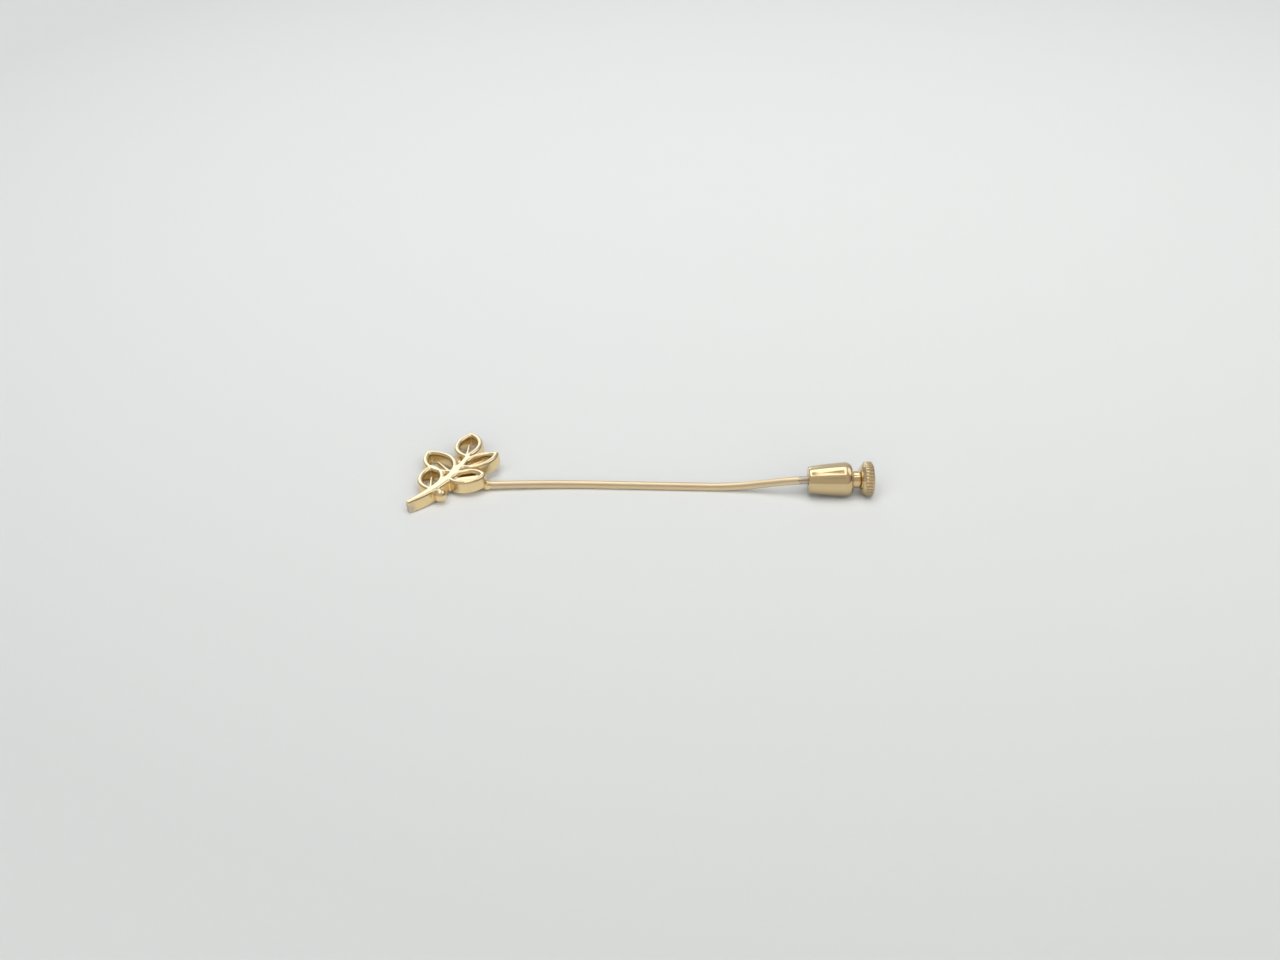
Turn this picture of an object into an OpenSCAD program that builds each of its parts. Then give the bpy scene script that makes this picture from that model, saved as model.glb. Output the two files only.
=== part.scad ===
// Stick pin that lies on a table: an openwork leaf spray soldered to a long needle, and a barrel clutch
// with a knurled pull knob over the needle's point.
//
// Frame, in millimetres: +X runs from the spray to the clutch, +Z is up, the table is z = 0, and the
// origin is the middle of the footprint. The needle lies just over the table and is bent up into the
// clutch, which rests on its own belly.

/* [Needle] */
// Diameter of the needle's wire
needle_d = 1.15; // [0.9:0.05:1.3]
// Length of the tapered point
point_len = 2.6; // [1.5:0.1:4]
// Diameter at the very tip
tip_d = 0.24; // [0.1:0.02:0.4]
// How far the needle reaches into the clutch
needle_in_clutch = 7; // [6.5:0.1:7.1]

/* [Spray] */
// Thickness of the cast spray
cast_th = 1.8; // [1.4:0.1:2.2]
// Width of a leaf's rim at its back
rim_w = 0.85; // [0.75:0.05:1]
// Width of the slope on each side of a rim's ridge
ridge_slope = 0.26; // [0.2:0.02:0.34]
// Height of the sloping part under a ridge
ridge_h = 0.45; // [0.3:0.05:0.6]
// Width of a midrib where it leaves the stem
rib_w = 0.7; // [0.6:0.05:1]
// Height of a midrib above the spray's back
rib_h = 1.35; // [1:0.05:1.6]
// Width of the stem half way up
stem_w = 1.5; // [1.3:0.1:1.8]
// Width of the stem at its two ends
stem_end_w = 0.9; // [0.8:0.05:1.1]
// Tilt of the spray: its right side is held up by the needle
spray_tilt = 6; // [5:0.5:7]
// Turn of the spray on the table, clockwise from above
spray_turn = 4; // [2:1:6]

/* [Clutch barrel] */
// Length of the barrel
barrel_len = 6.3; // [6.2:0.1:6.8]
// Radius at the mouth
mouth_r = 1.9; // [1.8:0.05:2.1]
// Radius of the belly, the widest place
belly_r = 2.455; // [2.4:0.005:2.6]
// Distance from the mouth to the belly
belly_at = 5.15; // [4.8:0.05:5.3]
// How far the flank bulges out of a straight taper
flank_bulge = 0.08; // [0:0.01:0.15]
// Upward slope of the clutch towards its knob, in degrees
clutch_slope = 0.5; // [0:0.25:1]
// Heading of the clutch on the table, in degrees away from the viewer
clutch_heading = 1.2; // [0:0.2:2.4]

/* [Clutch knob] */
// Radius of the knurled rim
knob_r = 2.48; // [2.3:0.02:2.5]
// Radius of the neck between barrel and knob
neck_r = 1.19; // [1:0.01:1.25]
// Length of neck that shows
neck_show = 0.85; // [0.7:0.05:1]
// Length of the knob
knob_len = 2.05; // [1.8:0.05:2.6]
// Number of knurl ridges
knurl_count = 32; // [24:1:36]
// Radius of the round cutter that makes each groove
knurl_cut_r = 0.16; // [0.1:0.01:0.18]
// How far the knob can be pulled out
pull_travel = 1.2; // [0.8:0.1:1.2]

/* [Hidden] */
$fn = 96;

GOLD = [0.80, 0.62, 0.34];
PALE_GOLD = [0.84, 0.68, 0.42];

// Cutters run past the solid by this much
PAST = 0.5;

// Unit vectors: at an angle in the plane, and along a wire with an upward slope and a heading
function ray(angle) = [cos(angle), sin(angle)];
function way(slope, heading) = [cos(slope) * cos(heading), cos(slope) * sin(heading), sin(slope)];
function unit(v) = v / norm(v);

// Runs of the needle from its hidden end in the spray to the point. Each row is a straight run's upward
// slope, its heading on the table, its length, and the radius of the bend after it.
function run_slope(row) = row[0];
function run_heading(row) = row[1];
function run_len(row) = row[2];
function bend_r(row) = row[3];
NEEDLE_START = [-25.6, 1, 1.005];
SEAT_HEADING = 4.4;
LAST_RUN_SHOWN = 0.3;
RUNS = [
  [-1.6, SEAT_HEADING, 9.3, 90],
  [0, -2.2, 15.13, 32],
  [11, -7.5, 4.58, 12],
  [clutch_slope, clutch_heading, LAST_RUN_SHOWN + needle_in_clutch - point_len, 0]
];
LAST = len(RUNS) - 1;
NEEDLE_R = needle_d / 2;
// The wire is this much thinner where it was bent, and its straight runs lap over the bends by this much
BEND_THIN = 0.015;
BEND_LAP = 0.1;

// Way that run i goes, its two ends, and the bend after it: its angle, its axis, and the unit vector from
// the run's end to the bend's centre
function way_of(i) = way(run_slope(RUNS[i]), run_heading(RUNS[i]));
function run_end(i) = run_start(i) + run_len(RUNS[i]) * way_of(i);
function run_start(i) = i == 0 ? NEEDLE_START : bend_end(i - 1);
function bend_angle(i) = acos(way_of(i) * way_of(i + 1));
function bend_axis(i) = unit(cross(way_of(i), way_of(i + 1)));
function inward(i) = cross(bend_axis(i), way_of(i));
function bend_end(i) =
  let (a = bend_angle(i))
  run_end(i) + bend_r(RUNS[i]) * (sin(a) * way_of(i) + (1 - cos(a)) * inward(i));
MOUTH = run_start(LAST) + LAST_RUN_SHOWN * way_of(LAST);

// Place of the spray's own origin, by the foot of its stem, so that its left edge touches the table, and
// the footprint's middle, which is then shifted to the origin
FOOT_AT = [-31.98, -4.56, 0.017];
CENTRE = [0.38, 4.575, 0];

// The spray is drawn flat, face up: u is to the right, v away from the foot, its back at height 0.
// The stem is an arc about STEM_CENTRE, and a place on it is named by its angle there.
STEM_CENTRE = [-10.43, 13.52];
STEM_R = 17;
FOOT_ANGLE = -52;
STEM_END_ANGLE = -3;
function on_stem(angle, out = 0) = STEM_CENTRE + (STEM_R + out) * ray(angle);

// Leaves: where each leaves the stem, the way it points, its length and its width
function leaf_root(row) = row[0];
function leaf_heading(row) = row[1];
function leaf_len(row) = row[2];
function leaf_w(row) = row[3];
LEAVES = [
  [-39, 97, 7.3, 4.0],
  [-27, spray_turn + SEAT_HEADING, 5.6, 4.1],
  [-21, 126, 8.6, 4.5],
  [-16, 36, 6.6, 3.7],
  [-6, 92, 7.5, 4.2]
];
// Part of a leaf's length that its midrib runs, and the midrib's width at that end
RIB_REACH = 0.62;
RIB_TIP_W = 0.3;
// The leaf over the needle has a wide straight midrib, into which the needle is let
NEEDLE_LEAF = 1;
SEAT_REACH = 0.85;
RIB_START = 0.2;
SEAT_W = 1.3;

// Berries: angle on the stem, distance from its arc to the right of it, and radius
function berry_angle(row) = row[0];
function berry_out(row) = row[1];
function berry_r(row) = row[2];
BERRIES = [
  [-37, 1.35, 0.95],
  [-8, -1.15, 0.85]
];
// Solder bead on the needle, at this distance from the needle's hidden end
SOLDER_R = 0.75;
SOLDER_AT = 4.2;

// Clutch, measured along its axis from the mouth
BORE_R = NEEDLE_R + 0.1;
FIT = 0.09;
MOUTH_BEVEL = 0.12;
MOUTH_WALL = 0.9;
LEAD_IN = 0.25;
CAVITY_R = 1.45;
CAVITY_END = barrel_len - 0.6;
// The belly's round shoulder sweeps this angle, and leaves this much of the barrel's end as a collar
SHOULDER_SWEEP = 75;
SHOULDER_R = 1.5;
COLLAR = 0.1;
SHOULDER_LEN = (barrel_len - COLLAR - belly_at) / sin(SHOULDER_SWEEP);
FLANGE_START = 1.6;
FLANGE_END = CAVITY_END - 0.15 - pull_travel;
KNOB_START = barrel_len + neck_show;
KNOB_END = KNOB_START + knob_len;
KNOB_SHOULDER = 0.85;
KNOB_BEVEL = 0.35;
// The knob's shoulder bulges: share of its length, and share of the way out from neck to rim
function share_along(row) = row[0];
function share_out(row) = row[1];
SHOULDER_ROWS = [[0, 0.12], [0.15, 0.36], [0.43, 0.68], [0.72, 0.87], [1, 1]];
// Its far edge is rounded off to the face
KNOB_FACE_R = 1.95;
BORE_END = KNOB_START + 0.15;
STEPS = 6;

// Sets what is drawn with its axis along z at a place, with its axis along a run of the needle
module along_run(place, row) {
  translate(place)
    rotate([0, 90 - run_slope(row), run_heading(row)])
      children();
}

// Sets a part of the clutch, drawn with its axis along z, on the clutch's axis
module on_clutch_axis() {
  along_run(MOUTH - CENTRE, RUNS[LAST])
    children();
}

// Bend after run i: an arc of wire that starts on its x axis and is drawn round its z axis
module bend(i) {
  r = bend_r(RUNS[i]);
  centre = run_end(i) + r * inward(i);
  multmatrix([for (k = [0:2]) [-inward(i)[k], way_of(i)[k], bend_axis(i)[k], centre[k]]])
    rotate_extrude(angle = bend_angle(i), $fn = 360)
      translate([r, 0])
        circle(r = NEEDLE_R - BEND_THIN, $fn = 48);
}

// Straight runs with the bends after them, and the last run turned together with its tapered point
module needle() {
  for (i = [0:LAST - 1]) {
    before = i == 0 ? 0 : BEND_LAP;
    along_run(run_start(i), RUNS[i])
      translate([0, 0, -before])
        cylinder(r = NEEDLE_R, h = before + run_len(RUNS[i]) + BEND_LAP);
    bend(i);
  }
  straight = run_len(RUNS[LAST]);
  along_run(run_start(LAST), RUNS[LAST])
    rotate_extrude()
      polygon([
        [0, -BEND_LAP], [NEEDLE_R, -BEND_LAP], [NEEDLE_R, straight],
        [tip_d / 2, straight + point_len], [0, straight + point_len]
      ]);
}

// Disc whose edge slopes in by ridge_slope towards its face
module disc(r) {
  rotate_extrude()
    polygon([[0, 0], [r, 0], [r, cast_th - ridge_h], [r - ridge_slope, cast_th], [0, cast_th]]);
}

// Cutter of radius r at the back, which opens by ridge_slope towards the face
module disc_cutter(r) {
  top = cast_th + PAST;
  rotate_extrude()
    polygon([
      [0, -PAST], [r, -PAST], [r, cast_th - ridge_h],
      [r + ridge_slope, cast_th], [r + ridge_slope, top], [0, top]
    ]);
}

// Two arcs of radius arc_r meet at a leaf's root and tip; the child is drawn about each arc's centre
module both_arcs(length, width, arc_r) {
  intersection() {
    translate([length / 2, arc_r - width / 2, 0])
      children();
    translate([length / 2, width / 2 - arc_r, 0])
      children();
  }
}

// Leaf along +x from its root: a pointed rim, cut through, with a midrib
module leaf(length, width, rib_root_w, rib_end_w, rib_reach) {
  arc_r = (length * length + width * width) / (4 * width);
  difference() {
    both_arcs(length, width, arc_r)
      disc(arc_r);
    both_arcs(length, width, arc_r)
      disc_cutter(arc_r - rim_w);
  }
  linear_extrude(height = rib_h)
    polygon([
      [RIB_START, -rib_root_w / 2], [rib_reach * length, -rib_end_w / 2],
      [rib_reach * length, rib_end_w / 2], [RIB_START, rib_root_w / 2]
    ]);
}

// Stem: the crescent between two discs whose centres are set apart, which narrows it to both ends
module stem() {
  middle = (FOOT_ANGLE + STEM_END_ANGLE) / 2;
  away = (stem_w - stem_end_w) / (1 - cos(middle - FOOT_ANGLE));
  inner_r = STEM_R - stem_w / 2 + away;
  translate([STEM_CENTRE[0], STEM_CENTRE[1], 0])
    intersection() {
      difference() {
        disc(STEM_R + stem_w / 2);
        translate(-away * ray(middle))
          disc_cutter(inner_r);
      }
      linear_extrude(height = cast_th)
        polygon([[0, 0], for (angle = [FOOT_ANGLE, middle, STEM_END_ANGLE]) 2 * STEM_R * ray(angle)]);
    }
}

// Berry: a ball that stands on the spray's back
module berry(row) {
  r = berry_r(row);
  place = on_stem(berry_angle(row), berry_out(row));
  translate([place[0], place[1], r])
    sphere(r = r);
}

// Stem with the leaves up to number i, each joined in turn to those before it
module stem_and_leaves(i) {
  if (i < 0) {
    stem();
  } else {
    row = LEAVES[i];
    root = on_stem(leaf_root(row));
    stem_and_leaves(i - 1);
    translate([root[0], root[1], 0])
      rotate(leaf_heading(row))
        if (i == NEEDLE_LEAF)
          leaf(leaf_len(row), leaf_w(row), SEAT_W, SEAT_W, SEAT_REACH);
        else
          leaf(leaf_len(row), leaf_w(row), rib_w, RIB_TIP_W, RIB_REACH);
  }
}

module spray() {
  stem_and_leaves(len(LEAVES) - 1);
  for (row = BERRIES)
    berry(row);
}

module pin() {
  color(GOLD)
    translate(-CENTRE)
      union() {
        translate(FOOT_AT)
          rotate(-spray_turn)
            rotate([0, -spray_tilt, 0])
              spray();
        needle();
        translate(NEEDLE_START + SOLDER_AT * way_of(0))
          sphere(r = SOLDER_R);
      }
}

// Radius of the barrel's flank at the share t of the way from mouth to belly
function flank(t) = mouth_r + (belly_r - mouth_r) * t + 4 * flank_bulge * t * (1 - t);

module clutch_barrel() {
  color(PALE_GOLD)
    on_clutch_axis()
      difference() {
        rotate_extrude()
          polygon(concat(
            [[0, 0], [mouth_r - MOUTH_BEVEL, 0]],
            [for (i = [0:STEPS])
              [flank(i / STEPS), MOUTH_BEVEL + (belly_at - MOUTH_BEVEL) * i / STEPS]],
            [for (i = [1:STEPS])
              let (a = SHOULDER_SWEEP * i / STEPS)
              [SHOULDER_R + (belly_r - SHOULDER_R) * cos(a), belly_at + SHOULDER_LEN * sin(a)]],
            [[SHOULDER_R, barrel_len], [0, barrel_len]]
          ));
        translate([0, 0, -PAST])
          cylinder(r = BORE_R, h = MOUTH_WALL + 2 * PAST);
        translate([0, 0, -PAST])
          cylinder(r1 = BORE_R + LEAD_IN + PAST, r2 = BORE_R, h = LEAD_IN + PAST);
        translate([0, 0, MOUTH_WALL])
          cylinder(r = CAVITY_R, h = CAVITY_END - MOUTH_WALL);
        translate([0, 0, CAVITY_END - PAST])
          cylinder(r = neck_r + FIT, h = barrel_len - CAVITY_END + 2 * PAST);
      }
}

module knob_body() {
  difference() {
    rotate_extrude()
      polygon([
        each [[0, KNOB_START - PAST], [neck_r, KNOB_START - PAST], [neck_r, KNOB_START]],
        for (row = SHOULDER_ROWS)
          [neck_r + (knob_r - neck_r) * share_out(row), KNOB_START + KNOB_SHOULDER * share_along(row)],
        each [[knob_r, KNOB_END - KNOB_BEVEL], [KNOB_FACE_R, KNOB_END], [0, KNOB_END]]
      ]);
    for (i = [0:knurl_count - 1])
      rotate(360 * i / knurl_count)
        translate([knob_r, 0, KNOB_START])
          cylinder(r = knurl_cut_r, h = knob_len + PAST, $fn = 24);
  }
}

module clutch_knob() {
  color(PALE_GOLD)
    on_clutch_axis()
      difference() {
        union() {
          translate([0, 0, FLANGE_START])
            cylinder(r = CAVITY_R - FIT, h = FLANGE_END - FLANGE_START);
          translate([0, 0, FLANGE_END - PAST])
            cylinder(r = neck_r, h = KNOB_START - FLANGE_END + PAST);
          knob_body();
        }
        translate([0, 0, FLANGE_START - PAST])
          cylinder(r = BORE_R, h = BORE_END - FLANGE_START + PAST);
      }
}

pin();
clutch_barrel();
clutch_knob();
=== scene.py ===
# %% [markdown]
# # A gold stick pin
# A stick pin is about the simplest brooch there is: a small ornament on the blunt end of a long
# needle, and a clutch that is pushed over the point once the needle has gone through the cloth.
#
# Its metal comes about in three ways. The ornament is cast, the needle is drawn wire, and the
# clutch is turned on a lathe. Each piece below is modelled the way it is made, because then its
# edges, corners and marks come out right by themselves.
#
# The construction model is loaded first, as a fixed frame. It says where every piece is.

import math

import bmesh
import bpy
from mathutils import Matrix, Vector, noise


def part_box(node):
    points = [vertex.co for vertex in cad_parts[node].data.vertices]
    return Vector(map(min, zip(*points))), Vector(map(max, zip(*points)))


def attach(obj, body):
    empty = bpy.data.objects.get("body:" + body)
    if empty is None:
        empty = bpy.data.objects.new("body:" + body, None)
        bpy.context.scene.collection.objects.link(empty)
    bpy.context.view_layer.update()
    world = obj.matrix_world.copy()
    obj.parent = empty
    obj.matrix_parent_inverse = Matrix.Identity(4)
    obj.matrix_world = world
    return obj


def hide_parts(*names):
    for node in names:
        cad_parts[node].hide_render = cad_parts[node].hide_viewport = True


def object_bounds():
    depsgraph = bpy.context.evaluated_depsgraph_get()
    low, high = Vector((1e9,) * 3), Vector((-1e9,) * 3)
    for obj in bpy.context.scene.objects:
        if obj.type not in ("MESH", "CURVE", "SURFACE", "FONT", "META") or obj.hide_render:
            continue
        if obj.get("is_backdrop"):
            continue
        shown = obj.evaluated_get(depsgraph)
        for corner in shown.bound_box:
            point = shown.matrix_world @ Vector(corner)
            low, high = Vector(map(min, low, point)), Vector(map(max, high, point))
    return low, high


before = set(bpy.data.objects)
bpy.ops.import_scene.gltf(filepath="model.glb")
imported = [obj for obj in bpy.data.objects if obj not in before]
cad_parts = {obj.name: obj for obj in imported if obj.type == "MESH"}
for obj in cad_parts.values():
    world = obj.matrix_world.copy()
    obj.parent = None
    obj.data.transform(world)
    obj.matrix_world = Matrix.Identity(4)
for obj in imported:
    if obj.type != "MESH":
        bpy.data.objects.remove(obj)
cad_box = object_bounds()
print("size of the pin in mm:", [round(1000 * side, 2) for side in cad_box[1] - cad_box[0]])

# %% [markdown]
# ## The camera
# The pin lies on a table and is seen from its long side, from 30 degrees above the table. The
# camera comes first, so that every later step can be rendered at once. A camera looks along its
# own -Z, so it is turned by 90 degrees less its elevation from looking straight down.
#
# In Blender a thing's data and its place are apart: a mesh, lamp or camera shows only once an object
# holds it and is linked to a collection. That is done for everything below, so it is a helper.

# %% Set up the camera
CAMERA_ELEVATION = math.radians(30)
CAMERA_DISTANCE = 0.2544
AIM = Vector((-0.0002, -0.00032, 0))


def put_in_scene(name, data):
    """A new object in the scene, at the origin."""
    thing = bpy.data.objects.new(name, data)
    bpy.context.scene.collection.objects.link(thing)
    return thing


camera_data = bpy.data.cameras.new("camera")
camera_data.lens = 50
camera_data.sensor_width = 36
camera_data.clip_start = 0.01
camera = put_in_scene("camera", camera_data)
back = Vector((0, -math.cos(CAMERA_ELEVATION), math.sin(CAMERA_ELEVATION)))
camera.location = AIM + CAMERA_DISTANCE * back
camera.rotation_euler = (math.pi / 2 - CAMERA_ELEVATION, 0, 0)
bpy.context.scene.camera = camera
print("camera at", [round(part, 4) for part in camera.location])

# %% [markdown]
# ## From a shape to a piece
# Every piece is drawn in millimetres, in whatever position is easiest: a turned part with its axis
# upright, the ornament lying flat on its back. One helper then merges double points, makes all
# faces point outwards, sets the shape in its place in the frame and hands it to the body that it
# moves with. The object itself stays at the origin, because the place is in its mesh.

# %% Finish a shape as a piece
MM = 0.001
SMOOTH_UNDER = math.radians(38)
# Points that are closer than this in a drawing, in millimetres, are one point
SAME_POINT = 0.0004
# How near to a height or a radius a point has to be to count as being at it
NEAR = 0.01


def make_mesh(name, shape):
    """A mesh from a bmesh, which is freed."""
    mesh = bpy.data.meshes.new(name)
    shape.to_mesh(mesh)
    shape.free()
    return mesh


def place_piece(name, shape, place, body, node):
    """An object from a shape in millimetres, set in its place, riding a body for a node."""
    bmesh.ops.remove_doubles(shape, verts=shape.verts, dist=SAME_POINT)
    bmesh.ops.recalc_face_normals(shape, faces=shape.faces)
    bmesh.ops.transform(shape, matrix=Matrix.Scale(MM, 4) @ place, verts=shape.verts)
    open_edges = sum(not edge.is_manifold for edge in shape.edges)
    mesh = make_mesh(name, shape)
    mesh.shade_smooth()
    mesh.set_sharp_from_angle(angle=SMOOTH_UNDER)
    piece = put_in_scene(name, mesh)
    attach(piece, body)
    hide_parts(node)
    mesh.calc_loop_triangles()
    print(f"{name}: {len(mesh.loop_triangles)} triangles, {open_edges} open edges")
    return piece


# %% [markdown]
# ## The needle's route
# The needle is one length of wire, 1.15 mm thick. It isn't quite straight: it comes down out of the
# ornament, runs just over the table, and is bent up and then level again before the clutch. A bent
# wire is a chain of straight runs and round bends, so each row of the table holds the way a run
# goes, its length, and the radius of the bend after it.
#
# A bend lies in the plane of the two runs that it joins. Its axis is therefore their cross product,
# and its centre lies off the end of the first run, square to both. The clutch sits on the last run,
# so the same table also gives the clutch its place.

# %% Route of the needle
NEEDLE_R = 0.575
NEEDLE_START = Vector((-25.98, -3.575, 1.005))
POINT_LEN = 2.6
TIP_R = 0.12
SHOWN_BEFORE_CLUTCH = 0.3
INSIDE_CLUTCH = 7
CLUTCH_SLOPE = 0.5
CLUTCH_HEADING = 1.2
SEAT_HEADING = 4.4
# Upward slope and heading of a run in degrees, its length, and the radius of the bend after it
RUNS = [
    (-1.6, SEAT_HEADING, 9.3, 90),
    (0, -2.2, 15.13, 32),
    (11, -7.5, 4.58, 12),
    (CLUTCH_SLOPE, CLUTCH_HEADING, SHOWN_BEFORE_CLUTCH + INSIDE_CLUTCH - POINT_LEN, 0),
]


def turned_to(slope, heading):
    """The turn that sets +Z, along which runs and turned parts are drawn, to a slope and heading."""
    lean = Matrix.Rotation(math.radians(90 - slope), 4, "Y")
    return Matrix.Rotation(math.radians(heading), 4, "Z") @ lean


def way(slope, heading):
    """Unit vector with an upward slope and a heading in degrees."""
    return turned_to(slope, heading).to_3x3() @ Vector((0, 0, 1))


bends = []
corner = NEEDLE_START.copy()
for run, next_run in zip(RUNS, RUNS[1:]):
    slope, heading, length, radius = run
    before = way(slope, heading)
    after = way(next_run[0], next_run[1])
    corner += length * before
    axis = before.cross(after).normalized()
    centre = corner + radius * axis.cross(before)
    turn = before.angle(after)
    bends.append((centre, axis, turn))
    corner = centre + Matrix.Rotation(turn, 3, axis) @ (corner - centre)

MOUTH = corner + SHOWN_BEFORE_CLUTCH * way(CLUTCH_SLOPE, CLUTCH_HEADING)
CLUTCH_PLACE = Matrix.Translation(MOUTH) @ turned_to(CLUTCH_SLOPE, CLUTCH_HEADING)
clutch_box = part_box("clutch_barrel")
print("bends in degrees:", [round(math.degrees(turn), 1) for _, _, turn in bends])
print("clutch's mouth in mm:", [round(part, 3) for part in MOUTH])
print("its barrel in the frame starts at x =", round(clutch_box[0].x / MM, 3))

# %% [markdown]
# ## Turned parts
# A lathe turns a bar of metal while a tool cuts its outline, so a turned part is fully told by half
# of its section. In bmesh that is `spin`: a chain of a few points, turned once round the z axis,
# with `use_merge` so that the last step closes on the first.
#
# A real tool never leaves a knife edge. `bevel` rounds the edges that it is given, here every edge
# that turns by more than a given angle between two heights. The edges between neighbouring steps of
# the spin turn too little to be touched.

# %% A lathe


def turn_on_lathe(outline, steps, is_ring=False):
    """A solid of revolution about z from an outline of (radius, height) points."""
    shape = bmesh.new()
    points = [shape.verts.new((radius, 0, height)) for radius, height in outline]
    ends = points[1:] + points[:1] if is_ring else points[1:]
    edges = [shape.edges.new(pair) for pair in zip(points, ends)]
    bmesh.ops.spin(
        shape,
        geom=points + edges,
        cent=(0, 0, 0),
        axis=(0, 0, 1),
        angle=math.tau,
        steps=steps,
        use_merge=True,
    )
    bmesh.ops.remove_doubles(shape, verts=shape.verts, dist=SAME_POINT)
    bmesh.ops.recalc_face_normals(shape, faces=shape.faces)
    return shape


def bevel(shape, geom, width, segments, affect="EDGES"):
    """Rounds edges, or the corners of a flat outline."""
    bmesh.ops.bevel(
        shape,
        geom=geom,
        offset=width,
        offset_type="OFFSET",
        segments=segments,
        profile=0.5,
        affect=affect,
        clamp_overlap=affect == "EDGES",
        material=-1,
    )


def round_edges(shape, width, segments, over, low, high):
    """Rounds the edges that turn by more than an angle in degrees, between two heights."""
    sharp = [
        edge
        for edge in shape.edges
        if edge.is_manifold
        and edge.calc_face_angle() > math.radians(over)
        and all(low < vert.co.z < high for vert in edge.verts)
    ]
    bevel(shape, sharp, width, segments)


# %% [markdown]
# ## The clutch's barrel
# The barrel is a thin turned shell that widens from its mouth to a belly, in a flank that bulges by
# less than a tenth of a millimetre. That bulge matters: it is what makes the long bright reflection
# on it taper. Behind the belly a round shoulder closes in on the neck of the pull knob.
#
# It is hollow, as the real one is. The outline is therefore a closed ring, out along the outside and
# back along the cavity, so the mouth's hole and the gap round the neck are real holes.

# %% Turn the barrel
BARREL_LEN = 6.3
MOUTH_R = 1.9
BELLY_R = 2.455
BELLY_AT = 5.15
FLANK_BULGE = 0.08
SHOULDER_R = 1.5
SHOULDER_SWEEP = math.radians(75)
COLLAR = 0.1
SHOULDER_LEN = (BARREL_LEN - COLLAR - BELLY_AT) / math.sin(SHOULDER_SWEEP)
BORE_R = NEEDLE_R + 0.1
LEAD_IN = 0.25
MOUTH_WALL = 0.9
CAVITY_R = 1.45
CAVITY_END = BARREL_LEN - 0.6
NECK_R = 1.19
NECK_GAP = 0.09
MOUTH_ROUND = 0.14
EDGE_ROUND = 0.06
CURVE_STEPS = 14
BARREL_STEPS = 144


def flank(share):
    """Radius and height of the barrel's flank at a share of the way from mouth to belly."""
    radius = MOUTH_R + (BELLY_R - MOUTH_R) * share + 4 * FLANK_BULGE * share * (1 - share)
    return radius, BELLY_AT * share


def shoulder(share):
    """Radius and height of the shoulder behind the belly."""
    angle = SHOULDER_SWEEP * share
    radius = SHOULDER_R + (BELLY_R - SHOULDER_R) * math.cos(angle)
    return radius, BELLY_AT + SHOULDER_LEN * math.sin(angle)


shares = [step / CURVE_STEPS for step in range(CURVE_STEPS + 1)]
outside = [flank(share) for share in shares] + [shoulder(share) for share in shares[1:]]
inside = [
    (SHOULDER_R, BARREL_LEN),
    (NECK_R + NECK_GAP, BARREL_LEN),
    (NECK_R + NECK_GAP, CAVITY_END),
    (CAVITY_R, CAVITY_END),
    (CAVITY_R, MOUTH_WALL),
    (BORE_R, MOUTH_WALL),
    (BORE_R, LEAD_IN),
    (BORE_R + LEAD_IN, 0),
]
barrel_shape = turn_on_lathe(outside + inside, BARREL_STEPS, is_ring=True)
round_edges(barrel_shape, MOUTH_ROUND, 4, over=30, low=-NEAR, high=NEAR)
round_edges(barrel_shape, EDGE_ROUND, 3, over=30, low=0.2, high=math.inf)
barrel = place_piece("barrel", barrel_shape, CLUTCH_PLACE, "clutch", "clutch_barrel")

# %% [markdown]
# ## The pull knob
# The knob is one turned piece with its neck and the plunger that hides in the barrel. Its rim is
# knurled: a toothed wheel is rolled against it in the lathe, which presses in grooves at even
# spacing, so that fingertips can grip it.
#
# The spin takes four steps for each ridge. Two of its columns are the ridge, and the other two are
# pushed towards the axis with one `scale`, as the wheel's tooth would, so that each groove has
# sloping walls and runs out at both ends. A fine bevel then takes the edge off the ridges.

# %% Turn and knurl the knob
NECK_SHOWN = 0.85
KNOB_LEN = 2.05
KNOB_R = 2.48
KNOB_SHOULDER = 0.85
FACE_R = 1.95
FACE_DROP = 0.35
PLUNGER_START = 1.6
PLUNGER_END = 4.35
PLUNGER_R = CAVITY_R - NECK_GAP
KNOB_START = BARREL_LEN + NECK_SHOWN
KNOB_END = KNOB_START + KNOB_LEN
BLIND_END = KNOB_START + 0.15
RIM_START = KNOB_START + KNOB_SHOULDER
RIM_END = KNOB_END - FACE_DROP
# Shoulder of the knob: share of its length, and share of the way out from the neck to the rim
KNOB_SHOULDER_ROWS = [(0, 0.12), (0.15, 0.36), (0.43, 0.68), (0.72, 0.87), (1, 1)]
KNURL_COUNT = 32
STEPS_PER_RIDGE = 4
GROOVE_DEPTH = 0.11
RIDGE_EDGE_ROUND = 0.03
NECK_ROUND = 0.05

knob_outline = [
    (0, BLIND_END),
    (BORE_R, BLIND_END),
    (BORE_R, PLUNGER_START),
    (PLUNGER_R, PLUNGER_START),
    (PLUNGER_R, PLUNGER_END),
    (NECK_R, PLUNGER_END),
    (NECK_R, KNOB_START),
]
for share_along, share_out in KNOB_SHOULDER_ROWS:
    radius = NECK_R + (KNOB_R - NECK_R) * share_out
    knob_outline.append((radius, KNOB_START + KNOB_SHOULDER * share_along))
knob_outline += [(KNOB_R, RIM_END), (FACE_R, KNOB_END), (0, KNOB_END)]
knob_steps = KNURL_COUNT * STEPS_PER_RIDGE
knob_shape = turn_on_lathe(knob_outline, knob_steps)


def column(vert):
    """Which step of the spin a point belongs to."""
    return round(math.atan2(vert.co.y, vert.co.x) / math.tau * knob_steps) % knob_steps


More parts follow.
